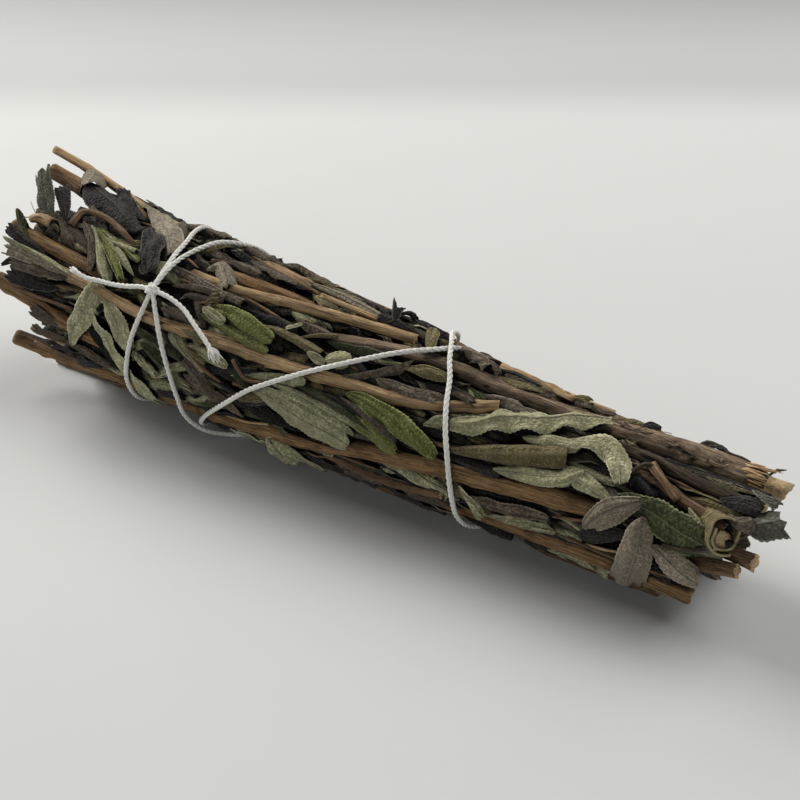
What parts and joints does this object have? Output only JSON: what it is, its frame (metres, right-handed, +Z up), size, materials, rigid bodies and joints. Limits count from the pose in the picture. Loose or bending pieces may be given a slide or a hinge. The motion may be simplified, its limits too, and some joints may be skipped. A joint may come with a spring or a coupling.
{
  "type": "sage smudge stick",
  "caption": "Bundle of dried sage stems and leaves lying on its side, tied with one cotton string that is wound round it and knotted on top, for burning as incense.",
  "frame": {"origin": "on the surface that the bundle lies on, under the middle of its outer box", "axes": "+X along the bundle from the flared leafy end to the butt of cut stems, +Z up, -Y the front with the knot's side"},
  "size_m": [0.2373, 0.0587, 0.059],
  "materials": {
    "stem_tan": "matt dry bark, tan with dark streaks along it",
    "stem_brown": "matt dry bark, reddish brown",
    "branch_bark": "rough flaking bark on the thickest branches",
    "leaf_pale": "dull pebbled leaf with fine pale down, sage grey-green",
    "leaf_green": "dull pebbled leaf, green",
    "leaf_brown": "dull dry leaf, brown-grey",
    "cotton_string": "undyed three-strand cotton"
  },
  "bodies": {
    "root": {"branch_butt": "branch_bark", "leaves_back": "leaf_pale", "leaves_front": "leaf_green", "leaves_front_low": "leaf_pale", "leaves_top": "leaf_brown", "leaves_under": "leaf_brown", "stem_back_high": "stem_brown", "stem_back_low": "stem_brown", "stem_back_middle": "branch_bark", "stem_back_top": "stem_brown", "stem_butt_front": "stem_brown", "stem_butt_inner": "stem_brown", "stem_butt_low": "stem_brown", "stem_butt_upper": "stem_brown", "stem_front_long": "stem_tan", "stem_front_low": "stem_brown", "stem_front_thin": "stem_tan", "stem_inner_left": "stem_brown", "stem_inner_low": "branch_bark", "stem_inner_right": "stem_brown", "stem_left_front": "stem_brown", "stem_left_red": "stem_brown", "stem_middle": "stem_tan", "stem_rest_back": "branch_bark", "stem_rest_front": "stem_brown", "stem_top_left": "stem_brown", "stem_top_tan": "stem_tan", "stem_upper_red": "stem_brown", "stem_upper_tan": "stem_tan", "string": "cotton_string", "twig_top_left": "stem_tan", "twig_top_right": "stem_brown", "twig_top_thin": "stem_brown"}
  },
  "joints": []
}
